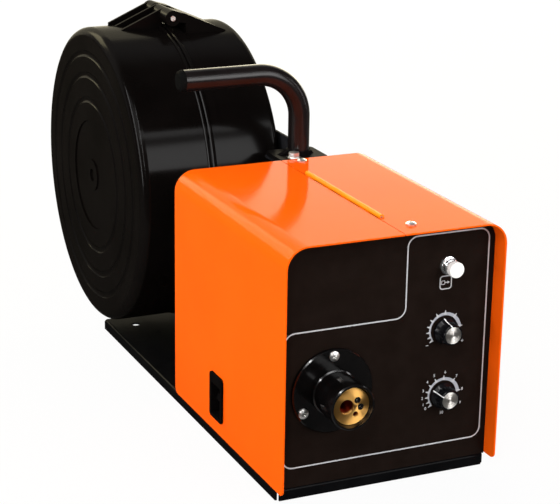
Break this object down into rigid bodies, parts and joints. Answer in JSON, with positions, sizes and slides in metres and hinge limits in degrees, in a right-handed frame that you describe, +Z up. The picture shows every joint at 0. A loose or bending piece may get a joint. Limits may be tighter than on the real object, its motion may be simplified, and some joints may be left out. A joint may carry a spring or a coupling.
{
  "type": "welding wire feeder",
  "caption": "Welding wire feeder with an orange sheet case, side door, gun socket and a closed black spool drum behind.",
  "frame": {"origin": "middle of the overall width and length, on the plane the base stands on", "axes": "+Y from the gun socket at the front to the spool drum at the rear, +Z up, +X to the side of the controls"},
  "size_m": [0.2382, 0.6725, 0.3705],
  "materials": {
    "orange_paint": "gloss",
    "panel_paint": "satin",
    "frame_paint": "satin",
    "handle_paint": "gloss",
    "base_paint": "gloss",
    "zinc_sheet": "satin",
    "nickel_screws": "polished",
    "steel": "satin",
    "brass": "satin",
    "copper": "satin",
    "aluminium": "satin",
    "black_gloss": "gloss",
    "drum_plastic": "gloss",
    "black_plastic": "matte",
    "grey_plastic": "matte",
    "white_plastic": "gloss",
    "orange_plastic": "matte",
    "liner_plastic": "matte",
    "hose_rubber": "matte",
    "board": "satin",
    "bezel_chrome": "polished",
    "insulator": "gloss"
  },
  "bodies": {
    "chassis": {"base_tray": "base_paint", "front_panel": "panel_paint", "rear_panel": "panel_paint", "mid_partition": "zinc_sheet", "right_cover": "orange_paint", "panel_screws": "nickel_screws", "hinge_fixed_leaf": "orange_paint", "hinge_pin": "steel", "socket_flange": "black_plastic", "socket_body": "brass", "socket_contacts": "insulator", "button_bezel": "bezel_chrome", "potentiometers": "aluminium", "control_board": "board", "gas_valve": "zinc_sheet", "gas_hose": "hose_rubber", "gas_nipple": "brass", "control_socket": "bezel_chrome", "power_socket": "black_plastic", "power_busbar": "copper", "drive_plate": "aluminium", "drive_mount": "black_plastic", "gear_motor": "frame_paint", "drive_screws": "steel", "wire_guides": "grey_plastic", "liner_tube": "liner_plastic", "support_bracket": "frame_paint", "frame_bolts": "nickel_screws", "handle_tube": "handle_paint", "handle_plug": "black_plastic", "handle_foot": "handle_paint", "drum_shell": "drum_plastic", "spindle": "steel", "hub_bolt": "nickel_screws", "drum_hinge_pin": "nickel_screws", "arm_springs": "steel"},
    "door": {"door_panel": "orange_paint", "hinge_door_leaf": "orange_paint", "latch_housing": "black_plastic"},
    "latch": {"latch_slider": "black_plastic"},
    "button": {"button_cap": "white_plastic"},
    "upper_knob": {"knob_upper": "black_gloss", "knob_upper_cap": "aluminium", "shaft_upper": "steel"},
    "lower_knob": {"knob_lower": "black_gloss", "knob_lower_cap": "aluminium", "shaft_lower": "steel"},
    "lid": {"drum_lid": "drum_plastic"},
    "catch": {"drum_catch": "black_plastic"},
    "hub": {"spool_hub": "black_plastic"},
    "keeper": {"hub_keeper": "orange_plastic"},
    "drive": {"drive_gear": "steel"},
    "feed_front": {"feed_roll_front": "steel"},
    "feed_rear": {"feed_roll_rear": "steel"},
    "front_arm": {"arm_front": "aluminium"},
    "rear_arm": {"arm_rear": "aluminium"},
    "press_front": {"pressure_roll_front": "steel"},
    "press_rear": {"pressure_roll_rear": "steel"},
    "collar_front": {"tension_knob_front": "orange_plastic"},
    "collar_rear": {"tension_knob_rear": "orange_plastic"}
  },
  "joints": [
    {"name": "door_swing", "type": "hinge", "parent": "chassis", "child": "door", "pos_m": [0.0149, -0.17575, 0.2463], "axis": [0, 1, 0], "range_deg": [0, 165]},
    {"name": "latch_slide", "type": "slide", "parent": "door", "child": "latch", "axis": [0, 0, 1], "range_m": [0, 0.008], "stiffness_N_per_m": 300, "springref_m": -0.004},
    {"name": "button_press", "type": "slide", "parent": "chassis", "child": "button", "axis": [0, 1, 0], "range_m": [0, 0.003], "stiffness_N_per_m": 400, "springref_m": -0.002},
    {"name": "upper_knob_turn", "type": "hinge", "parent": "chassis", "child": "upper_knob", "pos_m": [0.0662, -0.29125, 0.142], "axis": [0, 1, 0], "range_deg": [-120, 180]},
    {"name": "lower_knob_turn", "type": "hinge", "parent": "chassis", "child": "lower_knob", "pos_m": [0.0662, -0.29125, 0.078], "axis": [0, 1, 0], "range_deg": [-95, 205]},
    {"name": "lid_swing", "type": "hinge", "parent": "chassis", "child": "lid", "pos_m": [-0.0371, 0.17275, 0.362], "axis": [0, 1, 0], "range_deg": [0, 100]},
    {"name": "catch_swing", "type": "hinge", "parent": "chassis", "child": "catch", "pos_m": [-0.0221, 0.29084, 0.06991], "axis": [0, -0.7071, -0.7071], "range_deg": [0, 100]},
    {"name": "hub_spin", "type": "hinge", "parent": "chassis", "child": "hub", "pos_m": [-0.0806, 0.17275, 0.188], "axis": [1, 0, 0], "continuous": true},
    {"name": "keeper_turn", "type": "hinge", "parent": "hub", "child": "keeper", "pos_m": [-0.0866, 0.17275, 0.198], "axis": [0, -1, 0], "range_deg": [0, 90]},
    {"name": "drive_spin", "type": "hinge", "parent": "chassis", "child": "drive", "pos_m": [-0.0536, -0.16925, 0.06437], "axis": [1, 0, 0], "continuous": true},
    {"name": "feed_front_spin", "type": "hinge", "parent": "chassis", "child": "feed_front", "pos_m": [-0.0536, -0.19825, 0.0857], "axis": [1, 0, 0], "continuous": true},
    {"name": "feed_rear_spin", "type": "hinge", "parent": "chassis", "child": "feed_rear", "pos_m": [-0.0536, -0.14025, 0.0857], "axis": [1, 0, 0], "continuous": true},
    {"name": "front_arm_lift", "type": "hinge", "parent": "chassis", "child": "front_arm", "pos_m": [-0.0536, -0.22925, 0.1163], "axis": [1, 0, 0], "range_deg": [0, 50], "stiffness_Nm_per_rad": 1.5, "springref_deg": -45.84},
    {"name": "rear_arm_lift", "type": "hinge", "parent": "chassis", "child": "rear_arm", "pos_m": [-0.0536, -0.10925, 0.1163], "axis": [-1, 0, 0], "range_deg": [0, 50], "stiffness_Nm_per_rad": 1.5, "springref_deg": -45.84},
    {"name": "press_front_spin", "type": "hinge", "parent": "front_arm", "child": "press_front", "pos_m": [-0.0536, -0.19825, 0.1163], "axis": [1, 0, 0], "continuous": true},
    {"name": "press_rear_spin", "type": "hinge", "parent": "rear_arm", "child": "press_rear", "pos_m": [-0.0536, -0.14025, 0.1163], "axis": [1, 0, 0], "continuous": true},
    {"name": "collar_front_turn", "type": "hinge", "parent": "chassis", "child": "collar_front", "pos_m": [-0.0536, -0.22925, 0.1163], "axis": [1, 0, 0], "range_deg": [0, 300]},
    {"name": "collar_rear_turn", "type": "hinge", "parent": "chassis", "child": "collar_rear", "pos_m": [-0.0536, -0.10925, 0.1163], "axis": [1, 0, 0], "range_deg": [0, 300]}
  ],
  "couplings": [
    {"joint": "feed_front_spin", "follows": "drive_spin", "ratio": -1.4},
    {"joint": "feed_rear_spin", "follows": "drive_spin", "ratio": -1.4}
  ]
}
